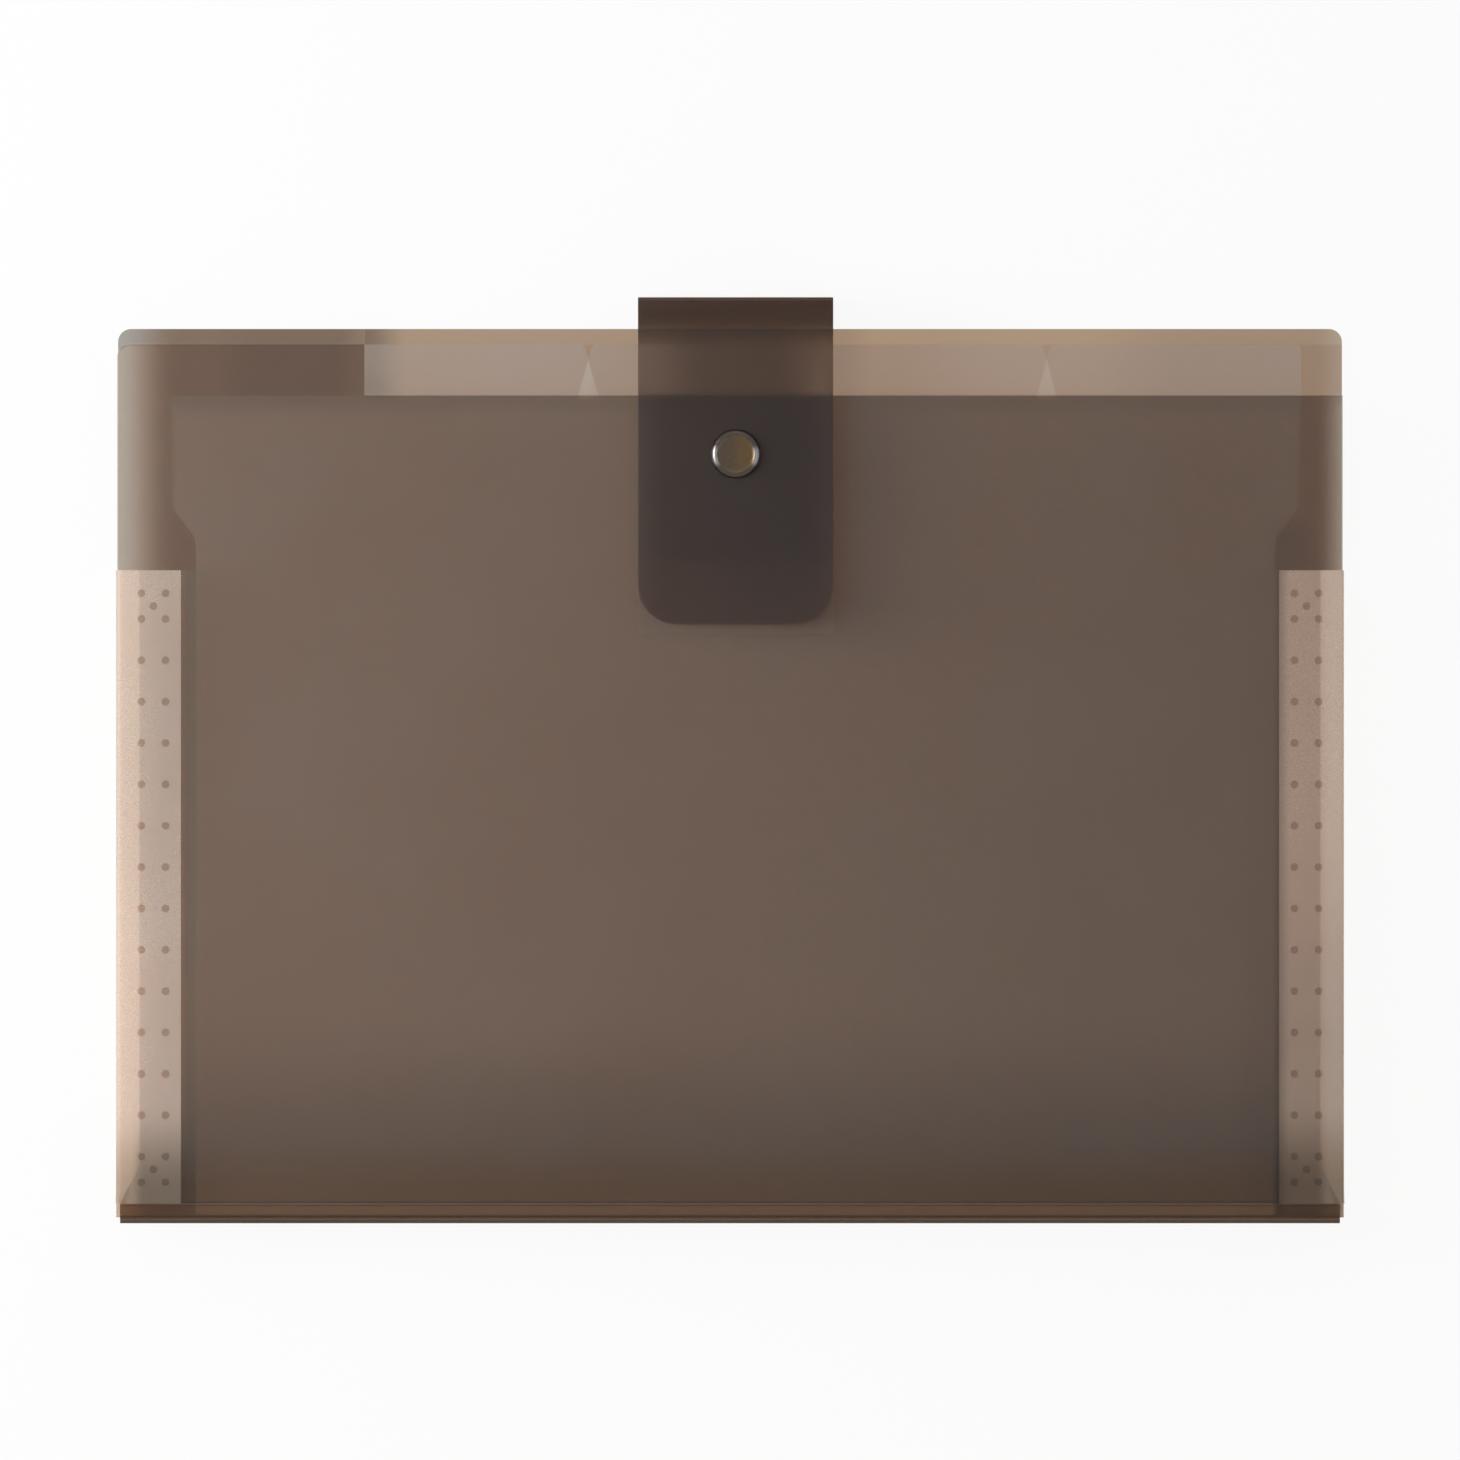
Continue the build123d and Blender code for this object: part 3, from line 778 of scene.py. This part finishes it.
spine = {
    'folds': ((5.1, 1.4), (1.774, 6.4), (0.4, 11.2), (0.4, 16.0), (1.774, 20.8), (5.1, 25.8)),
    'halfLength': 163.2, 'web': 0.34, 'reach': 0.55, 'round': 0.3, 'roundSteps': 4,
    'coverRun': 10,  # the covers go straight up from the outer folds
}
foldPoints = [Vector((0, spineLine + height, level)) for height, level in spine['folds']]
coverRun = Vector((0, spine['coverRun'], 0))
stops = [foldPoints[0] + coverRun] + foldPoints + [foldPoints[-1] + coverRun]
for number, fold in enumerate(foldPoints):
    before = fold + (stops[number] - fold).normalized() * spine['reach']
    after = fold + (stops[number + 2] - fold).normalized() * spine['reach']
    corner = Vector((-spine['halfLength'], 0, 0))
    web = drawSheet(f'spine_fold_{number}', [before + corner, fold + corner, after + corner],
                    [(2 * spine['halfLength'], 0, 0)])
    choose(web, 'EDGE', lambda p, n: abs(n.x) > along and (p - fold).length < near)
    bpy.ops.mesh.bevel(offset=spine['round'] * mm, segments=spine['roundSteps'], affect='EDGES')
    closeEdit()
    addModifier(web, 'SOLIDIFY', thickness=spine['web'] * mm, offset=0)
    turnOutwards(web)
    smoothPiece(web, 50)
    dress(web, creaseFinish)
    if number == 0:
        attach(web, 'back')
    else:
        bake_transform(web)
print('spine folds made')


# Strap: one sheet from the weld behind, over the top and down the front, in two pieces that meet
# just in front of its back fold.

strap = {
    'middle': 1.5, 'width': 52.4, 'thick': 0.94, 'top': 248.2, 'flapFoot': 160.8, 'anchorFoot': 178.3,
    'flapLevel': 29.0, 'anchorLevel': 0.5, 'seam': 3.2, 'bend': 2.0, 'backBend': 1.6, 'corner': 10.6,
    'anchorCorner': 3.5, 'edge': 0.22, 'border': 2.2, 'groove': 0.35, 'grooveDepth': 0.07,
    'bendSteps': 8, 'cornerSteps': 10,
}


def makeStrapSheet(name, points, bend, corner, foot):
    half = strap['width'] / 2
    left = strap['middle'] - half
    run = [(left, spineLine + height, level) for height, level in points]
    piece = drawSheet(name, run, [(strap['width'], 0, 0)])
    bendPlace = Vector((strap['middle'], spineLine + strap['top'], points[1][1]))
    choose(piece, 'EDGE', lambda p, n: abs(n.x) > along and (p - bendPlace).length < near)
    bpy.ops.mesh.bevel(offset=bend * mm, segments=strap['bendSteps'], affect='EDGES')
    closeEdit()
    choose(piece, 'VERT', lambda p, n: p.y < spineLine + foot + near)
    bpy.ops.mesh.bevel(offset=corner * mm, segments=strap['cornerSteps'], affect='VERTICES')
    closeEdit()
    addModifier(piece, 'SOLIDIFY', thickness=strap['thick'] * mm, offset=0)
    turnOutwards(piece)
    return piece


s = strap
flap = makeStrapSheet(
    'strap_front', [(s['top'], s['seam']), (s['top'], s['flapLevel']), (s['flapFoot'], s['flapLevel'])],
    s['bend'], s['corner'], s['flapFoot'])
anchor = makeStrapSheet(
    'strap_back', [(s['top'], s['seam']), (s['top'], s['anchorLevel']), (s['anchorFoot'], s['anchorLevel'])],
    s['backBend'], s['anchorCorner'], s['anchorFoot'])
choose(flap, 'FACE', lambda p, n: n.z > 0.9999 and p.z > s['flapLevel'])  # leaves the bend out
bpy.ops.mesh.inset(thickness=s['border'] * mm, depth=0)
bpy.ops.mesh.inset(thickness=s['groove'] * mm, depth=-s['grooveDepth'] * mm)
bpy.ops.mesh.inset(thickness=s['groove'] * mm, depth=s['grooveDepth'] * mm)
closeEdit()
for piece in (flap, anchor):
    addModifier(piece, 'BEVEL', width=s['edge'] * mm, segments=2, limit_method='ANGLE',
                angle_limit=math.radians(60))
    smoothPiece(piece, 40)
    dress(piece, strapFinish)
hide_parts('strap_flap', 'strap_bridge')
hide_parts('strap_anchor')
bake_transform(flap)
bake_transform(anchor)
print('strap made')


# Patch under the flap

patch = {'middle': 1.5, 'width': 53.0, 'foot': 158.3, 'head': 222.1, 'level': 26.45, 'thick': 0.42,
         'corner': 1.2, 'cornerSteps': 5, 'edge': 0.12}
p = patch
card = newPiece('snap_patch', bpy.ops.mesh.primitive_plane_add, size=1)
bpy.ops.transform.resize(value=(p['width'] * mm, (p['head'] - p['foot']) * mm, 1))
bpy.ops.transform.translate(
    value=(p['middle'] * mm, (spineLine + (p['foot'] + p['head']) / 2) * mm, p['level'] * mm))
bpy.ops.object.transform_apply(location=True, rotation=True, scale=True)
choose(card, 'VERT', lambda place, n: True)
bpy.ops.mesh.bevel(offset=p['corner'] * mm, segments=p['cornerSteps'], affect='VERTICES')
closeEdit()
addModifier(card, 'SOLIDIFY', thickness=p['thick'] * mm, offset=0)
addModifier(card, 'BEVEL', width=p['edge'] * mm, segments=2, limit_method='ANGLE',
            angle_limit=math.radians(60))
turnOutwards(card)
smoothPiece(card, 40)
dress(card, patchFinish)
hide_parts('closure_patch')
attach(card, 'front')
print('patch made')


# Snap cap: half a section spun round the middle

cap = {
    'section': ((0, 0.98), (4.0, 1.02), (4.75, 1.12), (5.0, 1.3), (5.3, 1.38), (5.75, 1.28),
                (6.2, 0.95), (6.5, 0.5), (6.6, 0.2), (6.5, 0.0), (1.6, 0.0), (1.6, -0.9), (0, -0.9)),
    'level': 29.5, 'steps': 64, 'rim': 4.9, 'merge': 0.002,
}
profile = [(snapMiddle[0] / mm + x, snapMiddle[1] / mm, cap['level'] + z) for x, z in cap['section']]
button = drawSheet('snap_button', profile, [])
choose(button, 'EDGE', lambda place, n: True)
bpy.ops.mesh.spin(steps=cap['steps'], angle=2 * math.pi, axis=(0, 0, 1), center=snapMiddle)
bpy.ops.mesh.select_all(action='SELECT')
bpy.ops.mesh.remove_doubles(threshold=cap['merge'] * mm)
bpy.ops.mesh.normals_make_consistent(inside=False)
closeEdit()
smoothPiece(button, 50)
dress(button, snapFinish, rimFinish)
for face in button.data.polygons:
    reach = (face.center / mm - Vector((snapMiddle[0] / mm, snapMiddle[1] / mm, 0))).xy.length
    face.material_index = int(reach > cap['rim'])
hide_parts('snap_cap')
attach(button, 'strap_flap')
print('snap made')


# Floor, light and camera

def aim(thing, place, target):
    thing.location = place
    way = Vector(target) - Vector(place)
    thing.rotation_euler = way.to_track_quat('-Z', 'Y').to_euler()


# Share of the looks that fall straight on a thing, or by way of metal or clear plastic
def seenStraight(tree):
    path = addNode(tree, 'LightPath').outputs
    seen = calc(tree, 'MAXIMUM', path['Is Camera Ray'], path['Is Glossy Ray'])
    return calc(tree, 'MAXIMUM', seen, path['Is Transmission Ray'])


stageLook = {'white': 1.0, 'painted': 0.10, 'paint': 0.95, 'size': 8.0, 'level': -0.3,
             'sky': 0.36, 'skySeen': 1.0}
floor = newPiece('floor', bpy.ops.mesh.primitive_plane_add, size=stageLook['size'],
                 location=(0, 0, stageLook['level'] * mm))
floorFinish, tree = newFinish('floor_white')
glowShare = product(tree, seenStraight(tree), 1 - stageLook['painted'])
paint = addNode(tree, 'BsdfDiffuse', {'Color': colour(*[stageLook['paint']] * 3)})
glow = addNode(tree, 'Emission', {'Color': colour(1, 1, 1), 'Strength': stageLook['white']})
mixed = addNode(tree, 'MixShader', {0: glowShare, 1: paint.outputs[0], 2: glow.outputs[0]})
addNode(tree, 'OutputMaterial', {'Surface': mixed.outputs[0]})
dress(floor, floorFinish)

lamps = {
    'key': {'place': (-0.95, 0.16, 0.64), 'size': 0.5, 'power': 9.6},
    'fill': {'place': (0.9, -0.5, 1.2), 'size': 1.0, 'power': 1.0},
    'back': {'place': (0.1, 1.2, 1.0), 'size': 1.0, 'power': 1.6},
}
lampTarget = (0, 0, 0.015)
for name, lamp in lamps.items():
    deselectAll()
    bpy.ops.object.light_add(type='AREA')
    made = bpy.context.object
    made.name = name + '_lamp'
    made.data.size = lamp['size']
    made.data.energy = lamp['power']
    made.visible_camera = False
    aim(made, lamp['place'], lampTarget)

world = bpy.data.worlds.new('studio')
bpy.context.scene.world = world
world.use_nodes = True
tree = world.node_tree
tree.nodes.clear()
strength = slope(tree, seenStraight(tree), 0.0, 1.0, stageLook['sky'], stageLook['skySeen'])
sky = addNode(tree, 'Background', {'Color': colour(1, 1, 1), 'Strength': strength})
addNode(tree, 'OutputWorld', {'Surface': sky.outputs[0]})

view = {'height': 16.0, 'across': 0.0, 'up': 0.00815, 'frame': 0.3919, 'frontLevel': 0.026,
        'sensor': 36, 'farthest': 100}
deselectAll()
bpy.ops.object.camera_add(location=(view['across'], view['up'], view['height'] + view['frontLevel']))
camera = bpy.context.object
camera.data.sensor_width = view['sensor']
camera.data.lens = view['sensor'] * view['height'] / view['frame']
camera.data.clip_end = view['farthest']
bpy.context.scene.camera = camera
bpy.context.scene.view_settings.view_transform = 'Standard'
bpy.context.scene.cycles.transparent_max_bounces = 64  # a look from the front crosses many sheets
print('stage, light and camera set')
